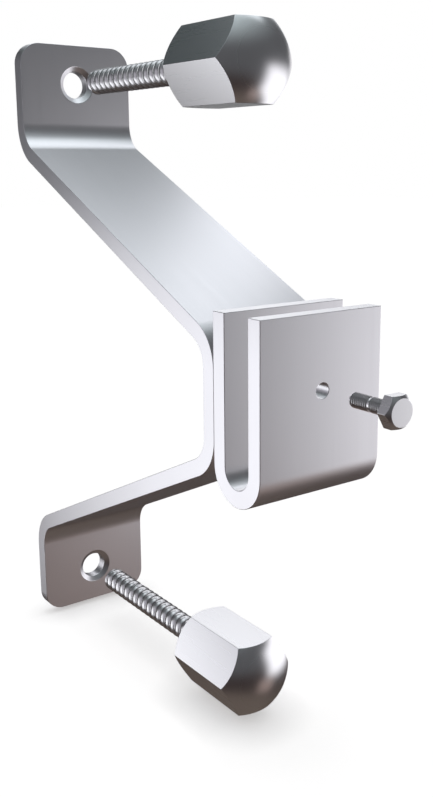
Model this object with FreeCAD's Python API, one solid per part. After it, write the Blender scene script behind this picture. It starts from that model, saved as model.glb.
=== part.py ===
import FreeCAD, Part
import math
import os

# Flat bar bridge bracket: a flat bar bent into a bridge, a U-shaped saddle on
# its crown, two wall bolts and one lock bolt, drawn out of their holes.
# X runs across the bar, +Y runs into the wall, +Z is up. The origin lies on
# the wall plane, midway between the two wall holes. All sizes are millimetres.

Vector = FreeCAD.Vector
into_wall = Vector(0, 1, 0)
away_from_wall = Vector(0, -1, 0)

# Flat bar stock, shared by the bridge bar and the saddle
bar_width = 50.0
bar_thickness = 6.0

# Bridge bar
bridge_height = 250.0          # from end to end of the two feet
standoff = 142.0               # from the wall to the front of the crown
crown_flat = 23.5              # upright flat of the crown, between its bends
foot_flat = 32.0               # flat of a foot, from its end to its bend
foot_bend_radius = 12.0        # inside radius of the bend at a foot
crown_bend_radius = 10.0       # inside radius of the bend at the crown
foot_corner_radius = 8.5       # rounded outer corners of a foot

# Countersunk wall holes
wall_hole_diameter = 11.0
wall_hole_to_end = 16.0
countersink_diameter = 15.0
countersink_depth = 1.5

# Saddle
slot_width = 12.5              # clear width between the two leaves
leaf_straight = 50.0           # straight height of a leaf above the round
saddle_top = 31.0              # top of the leaves above the bridge's middle

# Wall bolts
wall_bolt_across_flats = 27.0
wall_bolt_flat_length = 31.0   # length of the six long edges of the head
wall_bolt_dome_rise = 7.2      # height of each domed end past those edges
wall_bolt_diameter = 9.8       # over the crests of the thread
wall_bolt_length = 70.0        # shank, from the head's dome to the tip
wall_bolt_pitch = 3.8          # coarse rolled thread
wall_bolt_thread_depth = 0.5
wall_bolt_tip_diameter = 7.0
wall_bolt_tip_taper = 1.8
wall_bolt_tip_groove = 3.2     # ring groove near the tip, from the tip
wall_bolt_mid_groove = 22.5    # ring groove along the shank, from the tip
wall_bolt_groove_width = 1.1
wall_bolt_groove_depth = 0.65
wall_bolt_drawn = 88.0         # how far the bolt is drawn out of its seat

# Lock bolt
lock_bolt_across_flats = 10.0
lock_bolt_head_height = 4.6
lock_bolt_face_diameter = 9.0  # flat face inside the 45 degree chamfer
lock_bolt_diameter = 4.9
lock_bolt_length = 16.0
lock_bolt_tip_taper = 0.6
lock_bolt_neck_width = 1.1     # undercut below the head
lock_bolt_neck_depth = 0.5
lock_bolt_mid_groove = 8.2     # ring groove along the shank, from the tip
lock_bolt_groove_width = 0.7
lock_bolt_groove_depth = 0.4
lock_hole_clearance = 0.4      # lock hole diameter over the bolt's
lock_bolt_drawn = 30.0

seat_gap = 0.3                 # left between a bolt's head and its seat
cutter_margin = 1.0            # how far a cutting tool runs past the metal
same_place = 1e-6              # points closer than this are one point
hexagon_sides = 6

# Sizes and places worked out from the above
wall_hole_height = bridge_height / 2 - wall_hole_to_end
slot_back = standoff + bar_thickness
slot_front = slot_back + slot_width
saddle_front = slot_front + bar_thickness
lock_hole_height = saddle_top - leaf_straight / 2
lock_hole_diameter = lock_bolt_diameter + lock_hole_clearance
wall_bolt_corner_radius = wall_bolt_across_flats / math.sqrt(3)
wall_bolt_crest_radius = wall_bolt_diameter / 2
wall_bolt_root_radius = wall_bolt_crest_radius - wall_bolt_thread_depth
wall_bolt_dome_radius = (
    (wall_bolt_corner_radius ** 2 + wall_bolt_dome_rise ** 2) / (2 * wall_bolt_dome_rise)
)
wall_bolt_head_length = wall_bolt_flat_length + 2 * wall_bolt_dome_rise
# The dome of a seated wall bolt bears on the rim of the countersink.
seat_sink = wall_bolt_dome_radius - math.sqrt(
    wall_bolt_dome_radius ** 2 - (countersink_diameter / 2) ** 2
)
wall_bolt_seat = -bar_thickness + seat_sink - seat_gap
lock_bolt_seat = -saddle_front - seat_gap


# Bent flat bar

def bend_points(before, corner, after, radius, offset):
    # Start, middle and end of the arc that rounds one corner of a path, on a
    # line that lies to the left of the path by the offset.
    heading_in = (corner - before).normalize()
    heading_out = (after - corner).normalize()
    left_in = Vector(0, -heading_in.z, heading_in.y)
    left_out = Vector(0, -heading_out.z, heading_out.y)
    turn = 1 if heading_in.cross(heading_out).x > 0 else -1
    tangent = radius * math.tan(heading_in.getAngle(heading_out) / 2)
    centre = corner - heading_in * tangent + left_in * (turn * radius)
    reach = offset - turn * radius
    middle = (left_in + left_out).normalize()
    return centre + left_in * reach, centre + middle * reach, centre + left_out * reach


def offset_path(corners, bend_radius, offset):
    # Edges of a path with rounded corners, moved sideways by the offset.
    first_heading = (corners[1] - corners[0]).normalize()
    last_heading = (corners[-1] - corners[-2]).normalize()
    reached = corners[0] + Vector(0, -first_heading.z, first_heading.y) * offset
    edges = []
    for index in range(1, len(corners) - 1):
        start, middle, end = bend_points(
            corners[index - 1], corners[index], corners[index + 1], bend_radius[index - 1], offset
        )
        if (start - reached).Length > same_place:
            edges.append(Part.makeLine(reached, start))
        edges.append(Part.Arc(start, middle, end).toShape())
        reached = end
    finish = corners[-1] + Vector(0, -last_heading.z, last_heading.y) * offset
    edges.append(Part.makeLine(reached, finish))
    return edges


def bent_bar(corners, inside_radii):
    # Flat bar bent along the corners of its middle line, full bar width.
    half = bar_thickness / 2
    middle_radii = [radius + half for radius in inside_radii]
    left = offset_path(corners, middle_radii, half)
    right = offset_path(corners, middle_radii, -half)
    ends = [
        Part.makeLine(left[0].firstVertex(True).Point, right[0].firstVertex(True).Point),
        Part.makeLine(left[-1].lastVertex(True).Point, right[-1].lastVertex(True).Point),
    ]
    outline = Part.Wire(Part.__sortEdges__(left + right + ends))
    outline.translate(Vector(-bar_width / 2, 0, 0))
    return Part.Face(outline).extrude(Vector(bar_width, 0, 0))


def bridge_corners():
    # Middle line of the bridge bar, from the top foot to the bottom foot. The
    # flats, the bends and the standoff leave one slope for the legs: the
    # tangent of half the bend angle solves a quadratic.
    half = bar_thickness / 2
    bends = foot_bend_radius + crown_bend_radius + bar_thickness
    leg_run = standoff - bar_thickness
    leg_drop = bridge_height / 2 - foot_flat - crown_flat / 2
    spare_run = leg_run - 2 * bends
    half_tangent = (math.sqrt(leg_drop ** 2 + leg_run * spare_run) - leg_drop) / spare_run
    foot_corner = bridge_height / 2 - foot_flat - (foot_bend_radius + half) * half_tangent
    crown_corner = crown_flat / 2 + (crown_bend_radius + half) * half_tangent
    upper = [
        Vector(0, -half, bridge_height / 2),
        Vector(0, -half, foot_corner),
        Vector(0, half - standoff, crown_corner),
    ]
    lower = [Vector(0, point.y, -point.z) for point in reversed(upper)]
    return upper + lower


def foot_corner_edges(bar):
    # The four short edges at the outer corners of the two feet.
    found = []
    for edge in bar.Edges:
        ends = [vertex.Point for vertex in edge.Vertexes]
        at_one_side = abs(ends[0].x + ends[1].x) > bar_width - same_place
        at_one_end = abs(ends[0].z + ends[1].z) > bridge_height - same_place
        if at_one_side and at_one_end:
            found.append(edge)
    return found


def wall_hole_cutter(height):
    # Through hole with a shallow countersink on the front face of a foot.
    front = Vector(0, -bar_thickness, height)
    bore = Part.makeCylinder(
        wall_hole_diameter / 2,
        bar_thickness + 2 * cutter_margin,
        front + away_from_wall * cutter_margin,
        into_wall,
    )
    slope = (countersink_diameter - wall_hole_diameter) / 2 / countersink_depth
    mouth = Part.makeCone(
        countersink_diameter / 2 + slope * cutter_margin,
        wall_hole_diameter / 2,
        countersink_depth + cutter_margin,
        front + away_from_wall * cutter_margin,
        into_wall,
    )
    return bore.fuse(mouth)


def bridge_bar():
    radii = [foot_bend_radius, crown_bend_radius, crown_bend_radius, foot_bend_radius]
    bar = bent_bar(bridge_corners(), radii)
    bar = bar.makeFillet(foot_corner_radius, foot_corner_edges(bar))
    for height in (wall_hole_height, -wall_hole_height):
        bar = bar.cut(wall_hole_cutter(height))
    return bar


# Saddle

def saddle():
    # U-shaped flat bar, its back leaf flat against the front of the crown.
    half = bar_thickness / 2
    bottom = saddle_top - leaf_straight - (slot_width / 2 + half)
    back = half - slot_back
    front = -slot_front - half
    corners = [
        Vector(0, back, saddle_top),
        Vector(0, back, bottom),
        Vector(0, front, bottom),
        Vector(0, front, saddle_top),
    ]
    bar = bent_bar(corners, [slot_width / 2, slot_width / 2])
    hole = Part.makeCylinder(
        lock_hole_diameter / 2,
        bar_thickness + 2 * cutter_margin,
        Vector(0, -saddle_front - cutter_margin, lock_hole_height),
        into_wall,
    )
    return bar.cut(hole)


# Bolts, modelled with the tip towards +Y and the under-head point at the origin

def hexagon_prism(across_flats, front, back):
    # Hexagonal prism along Y with level flats at its top and bottom.
    corner_radius = across_flats / math.sqrt(3)
    corners = []
    for side in range(hexagon_sides + 1):
        angle = 2 * math.pi * side / hexagon_sides
        corners.append(Vector(corner_radius * math.cos(angle), front, corner_radius * math.sin(angle)))
    return Part.Face(Part.makePolygon(corners)).extrude(Vector(0, back - front, 0))


def turned(points):
    # Solid of revolution about the Y axis from (radius, position along Y) points.
    corners = [Vector(radius, along, 0) for radius, along in points]
    outline = Part.makePolygon(corners + corners[:1])
    return Part.Face(outline).revolve(Vector(0, 0, 0), into_wall, 360)


def ring_groove(centre, width, depth, crest, clear):
    # Points of a V-shaped ring groove, open out to a clear radius.
    flare = width / 2 * (depth + clear - crest) / depth
    return [(clear, centre - flare), (crest - depth, centre), (clear, centre + flare)]


def tip_chamfer(tip, taper, end_radius, crest, clear):
    # Points of a tapered tip, from a clear radius down to the axis.
    slope = taper / (crest - end_radius)
    return [(clear, tip - slope * (clear - end_radius)), (end_radius, tip), (0, tip)]


def dome_cutter(apex, outward):
    # Ring that turns one end of the hexagon head to a dome.
    ball = Part.makeSphere(wall_bolt_dome_radius, Vector(0, apex - outward * wall_bolt_dome_radius, 0))
    blank = Part.makeCylinder(
        wall_bolt_corner_radius + cutter_margin,
        wall_bolt_dome_rise + 2 * cutter_margin,
        Vector(0, apex + outward * cutter_margin, 0),
        Vector(0, -outward, 0),
    )
    return blank.cut(ball)


def wall_bolt_head():
    # Long hexagon with both ends turned to the same dome.
    prism = hexagon_prism(
        wall_bolt_across_flats,
        -wall_bolt_head_length - cutter_margin / 2,
        cutter_margin / 2,
    )
    return prism.cut([dome_cutter(0, 1), dome_cutter(-wall_bolt_head_length, -1)])


def helix_turns(radius, start, turns):
    # Right-hand helix about the Z axis, as one edge for each turn.
    straight = 0
    helix = Part.makeLongHelix(wall_bolt_pitch, wall_bolt_pitch * turns, radius, straight)
    helix.translate(Vector(0, 0, start))
    return helix.Edges


def thread_end(base, root_turn):
    # Two faces that close the threaded rod: the ramp under or over its end
    # turn, and the step between the ramp's two ends.
    low = Vector(0, 0, base)
    middle = Vector(wall_bolt_crest_radius, 0, base + wall_bolt_pitch / 2)
    high = Vector(0, 0, base + wall_bolt_pitch)
    out_to_root = Vector(wall_bolt_root_radius, 0, 0)
    ramp = Part.makeRuledSurface(Part.makeLine(low, high), root_turn)
    step = Part.makePolygon([low, low + out_to_root, middle, high + out_to_root, high, low])
    return [ramp, Part.Face(step)]


def threaded_rod(length):
    # Rod along Z whose flanks are ruled between a root and a crest helix. It
    # is whole over the length, and one more turn at each end ramps out.
    turns = math.ceil(length / wall_bolt_pitch) + 1
    roots = helix_turns(wall_bolt_root_radius, -wall_bolt_pitch, turns + 1)
    crests = helix_turns(wall_bolt_crest_radius, -wall_bolt_pitch / 2, turns)
    faces = []
    for turn in range(turns):
        faces.append(Part.makeRuledSurface(roots[turn], crests[turn]))
        faces.append(Part.makeRuledSurface(crests[turn], roots[turn + 1]))
    faces += thread_end(-wall_bolt_pitch, roots[0])
    faces += thread_end((turns - 1) * wall_bolt_pitch, roots[-1])
    shell = Part.makeShell(faces)
    shell.sewShape()
    return Part.makeSolid(shell)


def wall_bolt_shank():
    # Threaded rod, trimmed by a turned outline with two ring grooves and a tip.
    start = -wall_bolt_dome_rise
    tip = wall_bolt_length
    crest = wall_bolt_crest_radius
    clear = crest + cutter_margin
    rod = threaded_rod(tip - start + 2 * cutter_margin)
    rod.rotate(Vector(0, 0, 0), Vector(1, 0, 0), -90)
    rod.translate(Vector(0, start - cutter_margin, 0))
    points = [(0, start), (clear, start)]
    for from_tip in (wall_bolt_mid_groove, wall_bolt_tip_groove):
        points += ring_groove(
            tip - from_tip, wall_bolt_groove_width, wall_bolt_groove_depth, crest, clear
        )
    points += tip_chamfer(tip, wall_bolt_tip_taper, wall_bolt_tip_diameter / 2, crest, clear)
    return rod.common(turned(points))


def wall_bolt():
    return wall_bolt_head().fuse(wall_bolt_shank())


def lock_bolt_head():
    # Hexagon with a 45 degree chamfer round its flat face.
    face = lock_bolt_face_diameter / 2
    reach = lock_bolt_across_flats / math.sqrt(3) + cutter_margin
    front = -lock_bolt_head_height
    blank = turned([(0, 0), (reach, 0), (reach, front + reach - face), (face, front), (0, front)])
    return hexagon_prism(lock_bolt_across_flats, front - cutter_margin, cutter_margin).common(blank)


def lock_bolt():
    # Small hexagon bolt with an undercut neck and a ring groove.
    tip = lock_bolt_length
    crest = lock_bolt_diameter / 2
    inside_head = -lock_bolt_head_height / 2
    points = [(0, inside_head), (crest, inside_head)]
    points += ring_groove(
        lock_bolt_neck_width / 2, lock_bolt_neck_width, lock_bolt_neck_depth, crest, crest
    )
    points += ring_groove(
        tip - lock_bolt_mid_groove, lock_bolt_groove_width, lock_bolt_groove_depth, crest, crest
    )
    points += tip_chamfer(tip, lock_bolt_tip_taper, crest - lock_bolt_tip_taper, crest, crest)
    return lock_bolt_head().fuse(turned(points))


def placed(shape, along, height):
    # Copy of the shape, moved along Y and up.
    return shape.translated(Vector(0, along, height))


def export(name, shape):
    if not shape.isValid() or len(shape.Solids) != 1:
        raise ValueError(name + " is not one sound solid")
    shape.Solids[0].exportStep("parts/" + name + ".step")
    print(name, round(shape.Volume, 1), "cubic mm")


os.makedirs("parts", exist_ok=True)
wall_bolt_place = wall_bolt_seat - wall_bolt_drawn
export("bridge_bar", bridge_bar())
export("saddle", saddle())
export("upper_wall_bolt", placed(wall_bolt(), wall_bolt_place, wall_hole_height))
export("lower_wall_bolt", placed(wall_bolt(), wall_bolt_place, -wall_hole_height))
export("lock_bolt", placed(lock_bolt(), lock_bolt_seat - lock_bolt_drawn, lock_hole_height))
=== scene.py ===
import math

import bmesh
import bpy
from mathutils import Matrix, Vector


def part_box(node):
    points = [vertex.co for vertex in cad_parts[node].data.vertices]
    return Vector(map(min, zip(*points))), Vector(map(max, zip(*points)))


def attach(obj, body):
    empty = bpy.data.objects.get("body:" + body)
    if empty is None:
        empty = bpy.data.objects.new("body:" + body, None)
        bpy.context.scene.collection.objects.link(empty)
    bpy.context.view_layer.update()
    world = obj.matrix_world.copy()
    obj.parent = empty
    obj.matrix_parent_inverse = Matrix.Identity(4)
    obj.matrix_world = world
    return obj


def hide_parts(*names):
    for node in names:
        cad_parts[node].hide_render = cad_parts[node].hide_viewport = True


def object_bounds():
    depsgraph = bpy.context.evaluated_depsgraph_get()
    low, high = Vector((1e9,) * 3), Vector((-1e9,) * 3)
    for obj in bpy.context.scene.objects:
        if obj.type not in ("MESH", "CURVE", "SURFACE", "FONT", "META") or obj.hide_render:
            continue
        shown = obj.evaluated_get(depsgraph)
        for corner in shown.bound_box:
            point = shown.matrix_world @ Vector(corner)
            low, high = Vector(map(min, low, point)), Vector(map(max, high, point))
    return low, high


# Dresses the flat bar bridge bracket: bent bars, domed wall bolts, lock bolt.
# X runs across the bar, +Y into the wall, +Z up. All sizes here are metres.

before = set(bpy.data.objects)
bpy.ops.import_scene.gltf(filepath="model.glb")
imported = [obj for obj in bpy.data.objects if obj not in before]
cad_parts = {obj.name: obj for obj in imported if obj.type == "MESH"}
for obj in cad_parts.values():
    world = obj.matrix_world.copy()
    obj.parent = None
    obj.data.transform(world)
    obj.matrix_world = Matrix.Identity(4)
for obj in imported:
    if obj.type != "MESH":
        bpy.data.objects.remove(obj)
cadBox = [list(corner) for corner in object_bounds()]
mm = 0.001
print("frame loaded")


# Camera and picture

picture = {
    "width": 433,
    "height": 797,
    "focalPixels": 957.56,          # focal length, in pixels of the picture
    "centreColumn": 260.88,         # pixel that the lens axis goes through
    "centreRow": 364.59,
    "azimuth": -37.48,              # degrees
    "elevation": 11.85,
    "place": (-0.19495, -0.38865, 0.07637),
    "sensor": 36.0,                 # of the picture's long side
    "nearest": 10 * mm,             # what stands closer is not drawn
}


def makeCamera():
    longSide = max(picture["width"], picture["height"])
    azimuth = math.radians(picture["azimuth"])
    elevation = math.radians(picture["elevation"])
    back = Vector((
        math.sin(azimuth) * math.cos(elevation),
        -math.cos(azimuth) * math.cos(elevation),
        math.sin(elevation),
    ))
    data = bpy.data.cameras.new("camera")
    data.sensor_width = picture["sensor"]
    data.lens = picture["focalPixels"] * picture["sensor"] / longSide
    data.shift_x = (picture["width"] / 2 - picture["centreColumn"]) / longSide
    data.shift_y = (picture["centreRow"] - picture["height"] / 2) / longSide
    data.clip_start = picture["nearest"]
    camera = bpy.data.objects.new("camera", data)
    camera.location = picture["place"]
    camera.rotation_euler = (-back).to_track_quat("-Z", "Y").to_euler()
    bpy.context.scene.collection.objects.link(camera)
    bpy.context.scene.camera = camera


makeCamera()
print("camera set")


# Material tools

def hexColor(code, strength=1.0):
    # sRGB hex code to a linear colour, made brighter by the strength
    parts = [int(code[start:start + 2], 16) / 255 for start in (1, 3, 5)]
    linear = [p / 12.92 if p <= 0.04045 else ((p + 0.055) / 1.055) ** 2.4 for p in parts]
    return [p * strength for p in linear] + [1.0]


def addNode(tree, kind, inputs=None, **settings):
    # A socket given as an input gets linked, any other value is set on it.
    node = tree.nodes.new(kind)
    for name, value in settings.items():
        setattr(node, name, value)
    for key, value in (inputs or {}).items():
        if isinstance(value, bpy.types.NodeSocket):
            tree.links.new(value, node.inputs[key])
        else:
            node.inputs[key].default_value = value
    return node


def newMaterial(name):
    material = bpy.data.materials.new(name)
    material.use_nodes = True
    material.node_tree.nodes.clear()
    return material, material.node_tree


# Mesh tools

weldDistance = 0.001 * mm           # points closer than this become one
nearEnough = 0.01 * mm              # for telling one edge of a mesh from another
cutDistance = 0.0001 * mm           # a cut takes over points as near as this


def pieceFrom(name, bm):
    bmesh.ops.recalc_face_normals(bm, faces=bm.faces)
    mesh = bpy.data.meshes.new(name)
    bm.to_mesh(mesh)
    bm.free()
    piece = bpy.data.objects.new(name, mesh)
    bpy.context.scene.collection.objects.link(piece)
    return piece


def bake(piece):
    # Applies the modifiers and keeps the piece's name and place.
    graph = bpy.context.evaluated_depsgraph_get()
    mesh = bpy.data.meshes.new_from_object(piece.evaluated_get(graph))
    piece.modifiers.clear()
    old = piece.data
    piece.data = mesh
    bpy.data.meshes.remove(old)
    mesh.name = piece.name


def combine(piece, others, operation):
    for other in others:
        step = piece.modifiers.new("combine", "BOOLEAN")
        step.operation = operation
        step.solver = "EXACT"
        step.object = other
    bake(piece)
    for other in others:
        bpy.data.objects.remove(other)


def easeEdges(piece, width, segments=3, angle=30):
    # Rounds each sharp edge by a hair, and keeps the flats' own shading.
    piece.data.shade_smooth()
    ease = piece.modifiers.new("ease", "BEVEL")
    ease.width = width
    ease.segments = segments
    ease.limit_method = "ANGLE"
    ease.angle_limit = math.radians(angle)
    ease.harden_normals = True
    bake(piece)


def turned(name, outline, steps):
    # Solid of revolution about the Y axis, from (radius, along) points.
    bm = bmesh.new()
    verts = [bm.verts.new((radius, along, 0)) for radius, along in outline]
    edges = [bm.edges.new(pair) for pair in zip(verts, verts[1:])]
    bmesh.ops.spin(
        bm, geom=verts + edges, cent=(0, 0, 0), axis=(0, 1, 0), angle=2 * math.pi,
        steps=steps, use_merge=True, use_duplicate=False,
    )
    bmesh.ops.remove_doubles(bm, verts=bm.verts, dist=weldDistance)
    return pieceFrom(name, bm)


def moved(piece, x, y, z):
    piece.data.transform(Matrix.Translation((x, y, z)))
    return piece


def dress(piece, node, body, material):
    piece.data.materials.clear()
    piece.data.materials.append(material)
    piece.visible_glossy = False    # the pieces mirror the tent, not each other
    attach(piece, body)
    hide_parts(node)


# Finishes

drawnBar = {
    "color": "#d3d1d7",
    "cloud": "#cecdd3",             # very slightly duller patches
    "cloudSize": 35 * mm,
    "roughness": (0.335, 0.385),
    "lineWidth": 0.45 * mm,         # drawn marks are finer, but would not show
    "lineLength": 70 * mm,
    "lineDepth": 0.003 * mm,
    "lineDetail": 3.0,              # layers of finer noise
    "cloudDetail": 2.0,
}

turnedBolt = {
    "color": "#d4d3d8",
    "roughness": (0.272, 0.288),
    "ringWidth": 0.35 * mm,         # turning marks, as coarse as they need to show
    "lineLength": 40 * mm,
    "markDepth": 0.00025 * mm,
    "markDetail": 2.0,
    "domeFacing": (0.4, 0.6),       # normal's part along the bolt, less on flats, more on domes
}

noiseSpread = (0.3, 0.7)            # noise seldom goes past these


def noiseOver(tree, vector, sizes, detail):
    # Noise whose spots have the given sizes along X, Y and Z.
    place = addNode(tree, "ShaderNodeMapping", {
        "Vector": vector,
        "Scale": [1 / size for size in sizes],
    })
    spots = addNode(tree, "ShaderNodeTexNoise", {
        "Vector": place.outputs["Vector"],
        "Scale": 1.0,
        "Detail": detail,
    })
    return spots.outputs["Fac"]


def markedSteel(material, tree, finish, color, marks, depth):
    # Metal whose marks change its gloss and its level a little.
    gloss = addNode(tree, "ShaderNodeMapRange", {
        "Value": marks,
        "From Min": noiseSpread[0],
        "From Max": noiseSpread[1],
        "To Min": finish["roughness"][0],
        "To Max": finish["roughness"][1],
    })
    level = addNode(tree, "ShaderNodeBump", {"Height": marks, "Distance": depth})
    shader = addNode(tree, "ShaderNodeBsdfPrincipled", {
        "Base Color": color,
        "Metallic": 1.0,
        "Roughness": gloss.outputs["Result"],
        "Normal": level.outputs["Normal"],
    })
    addNode(tree, "ShaderNodeOutputMaterial", {"Surface": shader.outputs["BSDF"]})
    return material


def satinSteel():
    # Stainless flat bar, cold drawn and satin finished: a cool pale grey
    # with a soft wide sheen and faint lines drawn along the bar.
    material, tree = newMaterial("satinStainlessBar")
    place = addNode(tree, "ShaderNodeTexCoord").outputs["Object"]
    length = drawnBar["lineLength"]
    lineSizes = (drawnBar["lineWidth"], length, length)
    lines = noiseOver(tree, place, lineSizes, drawnBar["lineDetail"])
    cloudSizes = [drawnBar["cloudSize"]] * 3
    clouds = noiseOver(tree, place, cloudSizes, drawnBar["cloudDetail"])
    color = addNode(tree, "ShaderNodeMix", {
        0: clouds,
        6: hexColor(drawnBar["color"]),
        7: hexColor(drawnBar["cloud"]),
    }, data_type="RGBA")
    return markedSteel(
        material, tree, drawnBar, color.outputs[2], lines, drawnBar["lineDepth"]
    )


def turnedSteel(piece, bolt):
    # Stainless bolt, turned and polished: brighter and sharper than the bar,
    # with hair-fine rings on its domes, drawn lines along its flats, and painted
    # shade that darkens the valleys of the thread and its ring grooves.
    material, tree = newMaterial("turnedStainless" + piece)
    place = addNode(tree, "ShaderNodeTexCoord").outputs["Object"]
    across = addNode(tree, "ShaderNodeMapping", {
        "Vector": place,
        "Location": (0, 0, -bolt["axisHeight"]),
        "Scale": (1, 0, 1),
    })
    radius = addNode(
        tree, "ShaderNodeVectorMath", {0: across.outputs["Vector"]}, operation="LENGTH"
    )
    # painted shade: the colour darkens from the crest radius down into the thread's valleys and
    # grooves, but not on the domes
    valley = addNode(tree, "ShaderNodeMapRange", {
        "Value": radius.outputs["Value"],
        "From Min": bolt["crestRadius"] - bolt["grooveDepth"],
        "From Max": bolt["crestRadius"],
    })
    rings = addNode(tree, "ShaderNodeCombineXYZ", {"X": radius.outputs["Value"]})
    width = turnedBolt["ringWidth"]
    detail = turnedBolt["markDetail"]
    rings = noiseOver(tree, rings.outputs["Vector"], (width, width, width), detail)
    lines = noiseOver(tree, place, (width, turnedBolt["lineLength"], width), detail)
    facing = addNode(tree, "ShaderNodeNewGeometry")
    facing = addNode(tree, "ShaderNodeSeparateXYZ", {"Vector": facing.outputs["Normal"]})
    facing = addNode(tree, "ShaderNodeMath", {0: facing.outputs["Y"]}, operation="ABSOLUTE")
    dome = addNode(tree, "ShaderNodeMapRange", {
        "Value": facing.outputs["Value"],
        "From Min": turnedBolt["domeFacing"][0],
        "From Max": turnedBolt["domeFacing"][1],
    })
    bright = addNode(tree, "ShaderNodeMath", {
        0: valley.outputs["Result"],
        1: dome.outputs["Result"],
    }, operation="MAXIMUM")
    color = addNode(tree, "ShaderNodeMix", {
        0: bright.outputs["Value"],
        6: hexColor(bolt["valleyShadeColor"]),
        7: hexColor(turnedBolt["color"]),
    }, data_type="RGBA")
    marks = addNode(tree, "ShaderNodeMix", {0: dome.outputs["Result"], 2: lines, 3: rings})
    return markedSteel(
        material, tree, turnedBolt, color.outputs[2], marks.outputs[0], turnedBolt["markDepth"]
    )


barFinish = satinSteel()
print("bar finish made")


# Bent bars

stock = {
    "width": 50 * mm,
    "thickness": 6 * mm,
    "edgeRound": 0.2 * mm,
    "bendSteps": 28,
}

bridge = {
    "height": 250 * mm,
    "standoff": 142 * mm,
    "footFlat": 32 * mm,
    "crownFlat": 23.5 * mm,
    "footBend": 12 * mm,            # inside radii
    "crownBend": 10 * mm,
    "footCorner": 8.5 * mm,
    "holeToEnd": 16 * mm,
    "holeRadius": 5.5 * mm,
    "sinkRadius": 7.5 * mm,         # countersink at the front face
    "sinkDepth": 1.5 * mm,
    "cornerSteps": 14,
    "holeSteps": 96,                # round the hole
}

saddle = {
    "slot": 12.5 * mm,
    "leaf": 50 * mm,                # straight height of a leaf
    "top": 31 * mm,                 # above the bridge's middle
    "holeRadius": 2.65 * mm,
    "holeSteps": 64,
}


def bentBar(start, heading, steps):
    # Bends a bar as a press does: a section pushed forward for each run and
    # swung about an axis along X for each bend. A run is (length,), a bend is
    # (angle, middle radius), and a negative angle turns a downward run to -Y.
    bm = bmesh.new()
    halfWidth = stock["width"] / 2
    halfThick = stock["thickness"] / 2
    across = Vector((1, 0, 0)).cross(heading)
    corners = [(-1, -1), (1, -1), (1, 1), (-1, 1)]
    verts = [
        bm.verts.new(start + Vector((side * halfWidth, 0, 0)) + across * (edge * halfThick))
        for side, edge in corners
    ]
    end = bm.faces.new(verts)
    place = start.copy()
    for step in steps:
        geometry = [end] + list(end.edges) + list(end.verts)
        if len(step) == 1:
            made = bmesh.ops.extrude_face_region(bm, geom=geometry)["geom"]
            newVerts = [part for part in made if isinstance(part, bmesh.types.BMVert)]
            bmesh.ops.translate(bm, verts=newVerts, vec=heading * step[0])
            place += heading * step[0]
        else:
            angle, radius = step
            centre = place + across * math.copysign(radius, angle)
            made = bmesh.ops.spin(
                bm, geom=geometry, cent=centre, axis=(1, 0, 0), angle=angle,
                steps=stock["bendSteps"], use_duplicate=False,
            )["geom_last"]
            turn = Matrix.Rotation(angle, 3, "X")
            place = centre + turn @ (place - centre)
            heading = turn @ heading
            across = turn @ across
        end = [part for part in made if isinstance(part, bmesh.types.BMFace)][0]
    bmesh.ops.remove_doubles(bm, verts=bm.verts, dist=weldDistance)
    return bm


def legAngle():
    # The flats, bends and standoff leave one slope for the legs.
    bends = bridge["footBend"] + bridge["crownBend"] + stock["thickness"]
    run = bridge["standoff"] - stock["thickness"]
    drop = bridge["height"] / 2 - bridge["footFlat"] - bridge["crownFlat"] / 2
    spare = run - 2 * bends
    return 2 * math.atan((math.sqrt(drop ** 2 + run * spare) - drop) / spare)


def makeBridge():
    half = stock["thickness"] / 2
    footRadius = bridge["footBend"] + half
    crownRadius = bridge["crownBend"] + half
    angle = legAngle()
    tangents = (footRadius + crownRadius) * math.tan(angle / 2)
    legRun = (bridge["standoff"] - stock["thickness"]) / math.sin(angle) - tangents
    steps = [
        (bridge["footFlat"],), (-angle, footRadius), (legRun,), (angle, crownRadius),
        (bridge["crownFlat"],),
        (angle, crownRadius), (legRun,), (-angle, footRadius), (bridge["footFlat"],),
    ]
    bm = bentBar(Vector((0, -half, bridge["height"] / 2)), Vector((0, 0, -1)), steps)
    cornerEdges = [
        edge for edge in bm.edges
        if all(abs(abs(v.co.z) - bridge["height"] / 2) < nearEnough for v in edge.verts)
        and abs(edge.verts[0].co.x - edge.verts[1].co.x) < nearEnough
    ]
    bmesh.ops.bevel(
        bm, geom=cornerEdges, offset=bridge["footCorner"], affect="EDGES",
        segments=bridge["cornerSteps"], profile=0.5, material=-1, clamp_overlap=True,
    )
    piece = pieceFrom("bridgeBar", bm)
    front = -stock["thickness"]
    slope = (bridge["sinkRadius"] - bridge["holeRadius"]) / bridge["sinkDepth"]
    over = mm
    outline = [
        (0, front - over), (bridge["sinkRadius"] + slope * over, front - over),
        (bridge["holeRadius"], front + bridge["sinkDepth"]),
        (bridge["holeRadius"], over), (0, over),
    ]
    holeHeight = bridge["height"] / 2 - bridge["holeToEnd"]
    drills = [
        moved(turned("drill", outline, bridge["holeSteps"]), 0, 0, side * holeHeight)
        for side in (1, -1)
    ]
    combine(piece, drills, "DIFFERENCE")
    easeEdges(piece, stock["edgeRound"])
    dress(piece, "bridge_bar", "bracket", barFinish)


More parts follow.
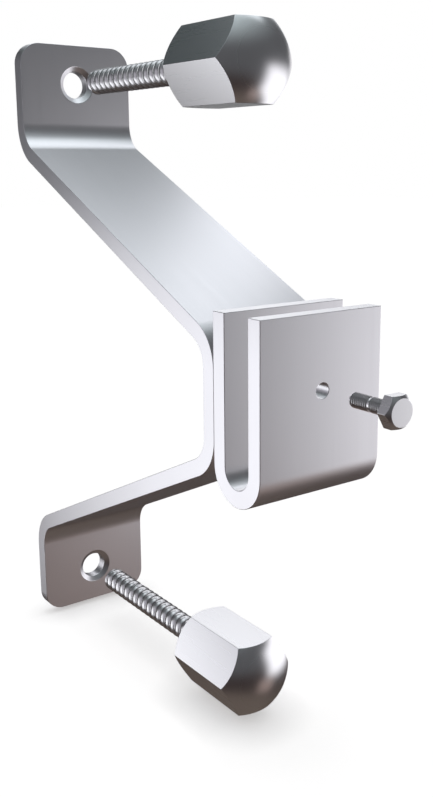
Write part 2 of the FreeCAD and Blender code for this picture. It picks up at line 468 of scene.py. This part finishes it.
def makeSaddle():
    half = stock["thickness"] / 2
    radius = saddle["slot"] / 2 + half
    back = -bridge["standoff"] - half
    steps = [(saddle["leaf"],), (-math.pi, radius), (saddle["leaf"],)]
    bm = bentBar(Vector((0, back, saddle["top"])), Vector((0, 0, -1)), steps)
    piece = pieceFrom("saddleBar", bm)
    frontFace = back - 2 * radius - half
    outline = [
        (0, frontFace - mm), (saddle["holeRadius"], frontFace - mm),
        (saddle["holeRadius"], frontFace + stock["thickness"] + mm),
        (0, frontFace + stock["thickness"] + mm),
    ]
    drill = turned("drill", outline, saddle["holeSteps"])
    moved(drill, 0, 0, saddle["top"] - saddle["leaf"] / 2)
    combine(piece, [drill], "DIFFERENCE")
    easeEdges(piece, stock["edgeRound"])
    dress(piece, "saddle", "bracket", barFinish)


makeBridge()
makeSaddle()
print("bars bent")


# Bolts

wallBolt = {
    "acrossFlats": 27 * mm,
    "flatLength": 31 * mm,
    "domeRise": 7.2 * mm,
    "crestRadius": 4.9 * mm,
    "length": 70 * mm,
    "pitch": 3.8 * mm,
    "threadDepth": 0.5 * mm,
    "tipRadius": 3.5 * mm,
    "tipTaper": 1.8 * mm,
    "grooves": (22.5 * mm, 3.2 * mm),   # from the tip
    "grooveWidth": 1.1 * mm,
    "grooveDepth": 0.65 * mm,
    "grooveWall": 0.8,              # share of its half width
    # painted shade in the thread's valleys and ring grooves
    "valleyShadeColor": "#939196",
    "root": 3 * mm,                 # of the shank, inside the head
    "edgeRound": 0.12 * mm,
    "edgeSteps": 2,
    "sharpAngle": 50,               # degrees, past which the thread keeps an edge
    "sideCuts": 11,
    "domeRings": 18,
    "threadSteps": 64,              # round one turn
    "profileSteps": 12,             # along one pitch
}

lockBolt = {
    "acrossFlats": 10 * mm,
    "headHeight": 4.6 * mm,
    "faceRadius": 4.35 * mm,
    "crestRadius": 2.45 * mm,
    "length": 16 * mm,
    "pitch": 0.8 * mm,
    "threadDepth": 0.43 * mm,
    "crestFlat": 0.125,             # of the pitch
    "rootFlat": 0.25,
    "tipRadius": 1.85 * mm,
    "tipTaper": 0.6 * mm,
    "grooves": (8.2 * mm, 15.3 * mm),
    "grooveWidth": 1.1 * mm,
    "grooveDepth": 0.5 * mm,
    "grooveWall": 0.12,
    # painted shade in the thread's valleys and ring grooves
    "valleyShadeColor": "#cdccd1",
    "root": 1 * mm,
    "edgeRound": 0.08 * mm,
    "edgeSteps": 2,
    "sharpAngle": 50,
    "sideCuts": 7,
    "threadSteps": 48,
}


def hexagonLoop(bm, bolt):
    # Closed loop of edges on the outline of the head, in the XZ plane.
    corner = bolt["acrossFlats"] / math.sqrt(3)
    lay = Matrix.Rotation(math.pi / 2, 4, "X") @ Matrix.Rotation(math.pi / 2, 4, "Z")
    bmesh.ops.create_circle(bm, cap_ends=False, segments=6, radius=corner, matrix=lay)
    bmesh.ops.subdivide_edges(bm, edges=bm.edges[:], cuts=bolt["sideCuts"])
    return list(bm.edges)


def shrinkRing(bm, edges, scale):
    # Extrudes a loop of edges inwards and returns the new loop.
    made = bmesh.ops.extrude_edge_only(bm, edges=edges)["geom"]
    verts = [part for part in made if isinstance(part, bmesh.types.BMVert)]
    bmesh.ops.scale(bm, verts=verts, vec=(scale, 1, scale))
    return [part for part in made if isinstance(part, bmesh.types.BMEdge)], verts


def distance(vert):
    return math.hypot(vert.co.x, vert.co.z)


def domedHead(bolt):
    # Half of the head, from its outline in to the dome's middle, then its
    # mirror image and the six flats between the two.
    bm = bmesh.new()
    loop = hexagonLoop(bm, bolt)
    rings = bolt["domeRings"]
    for ring in range(rings):
        share = (rings - ring - 1) / (rings - ring)
        loop, verts = shrinkRing(bm, loop, share)
    bmesh.ops.remove_doubles(bm, verts=bm.verts, dist=weldDistance)
    corner = bolt["acrossFlats"] / math.sqrt(3)
    rise = bolt["domeRise"]
    domeRadius = (corner ** 2 + rise ** 2) / (2 * rise)
    for vert in bm.verts:
        vert.co.y = -domeRadius + math.sqrt(domeRadius ** 2 - distance(vert) ** 2)
    middle = -rise - bolt["flatLength"] / 2
    twin = bmesh.ops.duplicate(bm, geom=bm.verts[:] + bm.edges[:] + bm.faces[:])["geom"]
    twinVerts = [part for part in twin if isinstance(part, bmesh.types.BMVert)]
    bmesh.ops.scale(
        bm, verts=twinVerts, vec=(1, -1, 1), space=Matrix.Translation((0, -middle, 0))
    )
    rims = [edge for edge in bm.edges if edge.is_boundary]
    bmesh.ops.bridge_loops(bm, edges=rims)
    return pieceFrom("head", bm)


def chamferedHead(bolt):
    # Small hexagon head: a round flat face, a 45 degree chamfer down to the
    # six flats, and a level back.
    bm = bmesh.new()
    loop = hexagonLoop(bm, bolt)
    outer = bm.verts[:]
    made = bmesh.ops.extrude_edge_only(bm, edges=loop)["geom"]
    inner = [part for part in made if isinstance(part, bmesh.types.BMVert)]
    innerEdges = [part for part in made if isinstance(part, bmesh.types.BMEdge)]
    for vert in inner:
        vert.co *= bolt["faceRadius"] / distance(vert)
        vert.co.y = -bolt["headHeight"]
    for vert in outer:
        vert.co.y = -bolt["headHeight"] + distance(vert) - bolt["faceRadius"]
    back = bmesh.ops.extrude_edge_only(bm, edges=loop)["geom"]
    backVerts = [part for part in back if isinstance(part, bmesh.types.BMVert)]
    backEdges = [part for part in back if isinstance(part, bmesh.types.BMEdge)]
    for vert in backVerts:
        vert.co.y = 0
    bmesh.ops.contextual_create(bm, geom=innerEdges)
    bmesh.ops.contextual_create(bm, geom=backEdges)
    return pieceFrom("head", bm)


def shankLimit(bolt, along):
    # Radius that the taper of the tip and the ring grooves leave at a place.
    fromTip = bolt["length"] - along
    limit = bolt["crestRadius"]
    if fromTip < bolt["tipTaper"]:
        share = max(fromTip, 0) / bolt["tipTaper"]
        limit = bolt["tipRadius"] + (bolt["crestRadius"] - bolt["tipRadius"]) * share
    for groove in bolt["grooves"]:
        off = abs(fromTip - groove) / (bolt["grooveWidth"] / 2)
        dip = bolt["grooveDepth"] * min(max((1 - off) / bolt["grooveWall"], 0), 1)
        limit = min(limit, bolt["crestRadius"] - dip)
    return limit


def roundThread(bolt):
    # Coarse thread: a broad round crest and a narrow valley, over one pitch.
    steps = bolt["profileSteps"]
    return [(step / steps, math.sin(math.pi * step / steps)) for step in range(steps + 1)]


def pointedThread(bolt):
    # Fine metric thread: 60 degree flanks between a narrow crest and a flat root.
    root = bolt["rootFlat"] / 2
    crest = bolt["crestFlat"] / 2
    return [(0, 0), (root, 0), (0.5 - crest, 1), (0.5 + crest, 1), (1 - root, 0), (1, 0)]


def threadedShank(bolt, profile):
    # One pitch of the thread's wave, turned and pushed along at once, then cut
    # square at both ends and held to the tip's taper and the ring grooves.
    bm = bmesh.new()
    pitch = bolt["pitch"]
    start = -bolt["root"]
    turns = math.ceil((bolt["length"] - start) / pitch) + 2
    begin = start - pitch
    valleyRadius = bolt["crestRadius"] - bolt["threadDepth"]
    verts = [
        bm.verts.new((valleyRadius + bolt["threadDepth"] * rise, begin + share * pitch, 0))
        for share, rise in profile(bolt)
    ]
    edges = [bm.edges.new(pair) for pair in zip(verts, verts[1:])]
    bmesh.ops.spin(
        bm, geom=verts + edges, cent=(0, 0, 0), axis=(0, 1, 0), angle=2 * math.pi * turns,
        dvec=(0, pitch / bolt["threadSteps"], 0), steps=bolt["threadSteps"] * turns,
        use_duplicate=False,
    )
    bmesh.ops.remove_doubles(bm, verts=bm.verts, dist=weldDistance)
    cuts = [start, bolt["length"]]
    for groove in bolt["grooves"]:
        for share in (-1, bolt["grooveWall"] - 1, 1 - bolt["grooveWall"], 1):
            cuts.append(bolt["length"] - groove + share * bolt["grooveWidth"] / 2)
    cuts.append(bolt["length"] - bolt["tipTaper"])
    for cut in cuts:
        bmesh.ops.bisect_plane(
            bm, geom=bm.verts[:] + bm.edges[:] + bm.faces[:], dist=cutDistance,
            plane_co=(0, cut, 0), plane_no=(0, 1, 0),
            clear_inner=cut == start, clear_outer=cut == bolt["length"],
        )
    for vert in bm.verts:
        limit = shankLimit(bolt, vert.co.y)
        reach = distance(vert)
        if reach > limit:
            vert.co.x *= limit / reach
            vert.co.z *= limit / reach
    bmesh.ops.holes_fill(bm, edges=[edge for edge in bm.edges if edge.is_boundary])
    return pieceFrom("shank", bm)


def makeBolt(bolt, head, profile):
    # One bolt with the middle of its under-head face at the origin.
    piece = head(bolt)
    shank = threadedShank(bolt, profile)
    easeEdges(piece, bolt["edgeRound"], segments=bolt["edgeSteps"])
    shank.data.shade_smooth()
    shank.data.set_sharp_from_angle(angle=math.radians(bolt["sharpAngle"]))
    combine(piece, [shank], "UNION")
    return piece


def placeBolt(piece, name, bolt, node, body):
    # The CAD node says where the bolt stands and how far its tip reaches.
    low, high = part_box(node)
    middle = (low + high) / 2
    piece.name = name
    piece.data.name = name
    moved(piece, middle.x, high.y - bolt["length"], middle.z)
    finish = turnedSteel(name[0].upper() + name[1:], {**bolt, "axisHeight": middle.z})
    dress(piece, node, body, finish)


def makeWallBolts():
    upper = makeBolt(wallBolt, domedHead, roundThread)
    lower = bpy.data.objects.new("lower", upper.data.copy())
    bpy.context.scene.collection.objects.link(lower)
    placeBolt(upper, "upperWallBolt", wallBolt, "upper_wall_bolt", "upper_bolt")
    placeBolt(lower, "lowerWallBolt", wallBolt, "lower_wall_bolt", "lower_bolt")


def makeLockBolt():
    piece = makeBolt(lockBolt, chamferedHead, pointedThread)
    placeBolt(piece, "lockBolt", lockBolt, "lock_bolt", "lock")


makeWallBolts()
print("wall bolts made")
makeLockBolt()
print("lock bolt made")


# Studio

studio = {
    "floorSize": 8.0,
    "floorGap": 2 * mm,             # below the part's lowest edge
    "floorColor": "#f4f4f4",
    "floorGlow": 0.86,              # what the eye gets besides the lit paper
    # the close soft shadow is painted: ambient occlusion darkens the paper's glow
    "shadeReach": 17 * mm,          # of the close soft shadow on the paper
    "shadeFloor": 0.41,             # glow left where the paper is quite covered
    "sunStrength": 0.35,
    "sunSpread": 25,                # degrees
    "skyStrength": 0.08,
}

# The metal sees a photographer's tent, which the camera doesn't. Angles are in
# degrees round +Z from +X, and up from level.
tent = {
    "centre": (-0.07, -0.127, 0.02),
    "radius": 0.49,
    "segments": (64, 32),           # round it, and from pole to pole
    "low": ("#70655c", "#413836", -65, -36),    # floor colours, and where each is reached
    "high": ("#616263", "#d5e3e2", 32, 89),     # wall to roof
    "level": (-29, 0.5),                        # where floor gives way to wall
    "boxes": {
        "right": {
            "color": "#ffffff", "strength": 1.74,
            "azimuth": (-45, 19), "elevation": (-32, 8.5), "edges": (13, 7),
        },
        "left": {
            "color": "#fcfefe", "strength": 1.98,
            "azimuth": (108.5, 150), "elevation": (-38, 1), "edges": (4, 4),
        },
        "side": {
            "color": "#f2f0f6", "strength": 0.75,
            "azimuth": (128, 188), "elevation": (-8, 36), "edges": (8, 10),
        },
        "back": {
            "color": "#fafeff", "strength": 1.8,
            "azimuth": (24, 78), "elevation": (6, 52), "edges": (3, 3),
        },
        "ledge": {
            "color": "#feffff", "strength": 1.64,
            "azimuth": (18, 74), "elevation": (7, 21), "edges": (4, 2),
        },
        "rim": {
            "color": "#ffffff", "strength": 1.08,
            "azimuth": (16, 41), "elevation": (7, 20), "edges": (5, 2),
        },
        "roof": {
            "color": "#f6ffff", "strength": 1.8,
            "azimuth": (-12, 95), "elevation": (52.5, 110), "edges": (3, 3.5),
        },
        "shade": {
            "color": "#e0ffff", "strength": 0.06,
            "azimuth": (40, 100), "elevation": (27, 46), "edges": (3, 3),
        },
        "warm": {
            "color": "#ffe2d4", "strength": 0.44,
            "azimuth": (-64, -32), "elevation": (-49, -32), "edges": (9, 7),
        },
    },
}


def seenDirectly(tree, strength):
    # The strength for camera, glossy and transmission rays, nothing for others.
    path = addNode(tree, "ShaderNodeLightPath")
    kinds = addNode(tree, "ShaderNodeMath", {
        0: path.outputs["Is Camera Ray"],
        1: path.outputs["Is Glossy Ray"],
    }, operation="ADD")
    kinds = addNode(tree, "ShaderNodeMath", {
        0: kinds.outputs["Value"],
        1: path.outputs["Is Transmission Ray"],
    }, operation="ADD", use_clamp=True)
    share = addNode(tree, "ShaderNodeMath", {
        0: kinds.outputs["Value"],
        1: strength,
    }, operation="MULTIPLY")
    return share.outputs["Value"]


def makeFloor():
    bm = bmesh.new()
    bmesh.ops.create_grid(bm, x_segments=1, y_segments=1, size=studio["floorSize"] / 2)
    floor = pieceFrom("floor", bm)
    moved(floor, 0, 0, cadBox[0][2] - studio["floorGap"])
    # Matt white studio paper. It reads as white and keeps the part's shadow from the lamps, and
    # its glow carries a painted soft shadow close to the part.
    material, tree = newMaterial("whiteStudioPaper")
    paper = addNode(tree, "ShaderNodeBsdfDiffuse", {"Color": hexColor(studio["floorColor"])})
    # painted shadow: ambient occlusion darkens the paper's glow near the part
    near = addNode(tree, "ShaderNodeAmbientOcclusion", {"Distance": studio["shadeReach"]})
    shade = addNode(tree, "ShaderNodeMapRange", {
        "Value": near.outputs["AO"],
        "To Min": studio["shadeFloor"],
    })
    glow = addNode(tree, "ShaderNodeEmission", {
        "Color": shade.outputs["Result"],
        "Strength": seenDirectly(tree, studio["floorGlow"]),
    })
    both = addNode(tree, "ShaderNodeAddShader", {
        0: paper.outputs["BSDF"],
        1: glow.outputs["Emission"],
    })
    addNode(tree, "ShaderNodeOutputMaterial", {"Surface": both.outputs["Shader"]})
    floor.data.materials.append(material)
    floor.visible_glossy = False    # the metal sees the tent in its place


def makeWorld():
    world = bpy.data.worlds.new("studio")
    bpy.context.scene.world = world
    world.use_nodes = True
    tree = world.node_tree
    tree.nodes.clear()
    lift = addNode(tree, "ShaderNodeMath", {
        0: seenDirectly(tree, 1 - studio["skyStrength"]),
        1: studio["skyStrength"],
    }, operation="ADD")
    sky = addNode(tree, "ShaderNodeBackground", {
        "Color": hexColor("#ffffff"),
        "Strength": lift.outputs["Value"],
    })
    addNode(tree, "ShaderNodeOutputWorld", {"Surface": sky.outputs["Background"]})


def makeSun():
    data = bpy.data.lights.new("overhead", "SUN")
    data.energy = studio["sunStrength"]
    data.angle = math.radians(studio["sunSpread"])
    lamp = bpy.data.objects.new("overhead", data)
    lamp.visible_glossy = False     # the tent's roof is what the metal sees
    bpy.context.scene.collection.objects.link(lamp)


def fadedColor(tree, value, start, end, first, second):
    # Goes smoothly from the first colour at the start to the second at the end.
    share = addNode(tree, "ShaderNodeMapRange", {
        "Value": value,
        "From Min": start,
        "From Max": end,
    }, interpolation_type="SMOOTHSTEP")
    color = addNode(tree, "ShaderNodeMix", {
        0: share.outputs["Result"],
        6: first,
        7: second,
    }, data_type="RGBA")
    return color.outputs[2]


def insideBand(tree, value, low, high, edge):
    # 1 between low and high, and smoothly down to 0 over the edge on each side.
    rise, fall = [
        addNode(tree, "ShaderNodeMapRange", {
            "Value": value,
            "From Min": start,
            "From Max": end,
        }, interpolation_type="SMOOTHSTEP")
        for start, end in ((low - edge, low + edge), (high + edge, high - edge))
    ]
    both = addNode(tree, "ShaderNodeMath", {
        0: rise.outputs["Result"],
        1: fall.outputs["Result"],
    }, operation="MULTIPLY")
    return both.outputs["Value"]


def makeTent():
    bm = bmesh.new()
    around, upwards = tent["segments"]
    bmesh.ops.create_uvsphere(
        bm, u_segments=around, v_segments=upwards, radius=tent["radius"]
    )
    shell = pieceFrom("tent", bm)
    shell.location = tent["centre"]
    material, tree = newMaterial("tentCloth")
    place = addNode(tree, "ShaderNodeTexCoord")
    way = addNode(
        tree, "ShaderNodeVectorMath", {0: place.outputs["Object"]}, operation="NORMALIZE"
    )
    way = addNode(tree, "ShaderNodeSeparateXYZ", {"Vector": way.outputs["Vector"]})
    turn = addNode(tree, "ShaderNodeMath", {
        0: way.outputs["Y"],
        1: way.outputs["X"],
    }, operation="ARCTAN2")
    turn = addNode(tree, "ShaderNodeMath", {0: turn.outputs["Value"]}, operation="DEGREES")
    rise = addNode(tree, "ShaderNodeMath", {0: way.outputs["Z"]}, operation="ARCSINE")
    rise = addNode(tree, "ShaderNodeMath", {0: rise.outputs["Value"]}, operation="DEGREES")
    turn = turn.outputs["Value"]
    rise = rise.outputs["Value"]
    below, above = [
        fadedColor(tree, rise, start, end, hexColor(first), hexColor(second))
        for first, second, start, end in (tent["low"], tent["high"])
    ]
    color = fadedColor(tree, rise, *tent["level"], below, above)
    for box in tent["boxes"].values():
        turnEdge, riseEdge = box["edges"]
        share = addNode(tree, "ShaderNodeMath", {
            0: insideBand(tree, turn, *box["azimuth"], turnEdge),
            1: insideBand(tree, rise, *box["elevation"], riseEdge),
        }, operation="MULTIPLY")
        blend = addNode(tree, "ShaderNodeMix", {
            0: share.outputs["Value"],
            6: color,
            7: hexColor(box["color"], box["strength"]),
        }, data_type="RGBA")
        color = blend.outputs[2]
    glow = addNode(tree, "ShaderNodeEmission", {"Color": color})
    addNode(tree, "ShaderNodeOutputMaterial", {"Surface": glow.outputs["Emission"]})
    material.cycles.emission_sampling = "NONE"
    shell.data.materials.append(material)
    shell.visible_camera = False
    shell.visible_diffuse = False
    shell.visible_shadow = False


makeFloor()
makeTent()
makeSun()
makeWorld()
bpy.context.scene.view_settings.view_transform = "Standard"
print("studio lit")
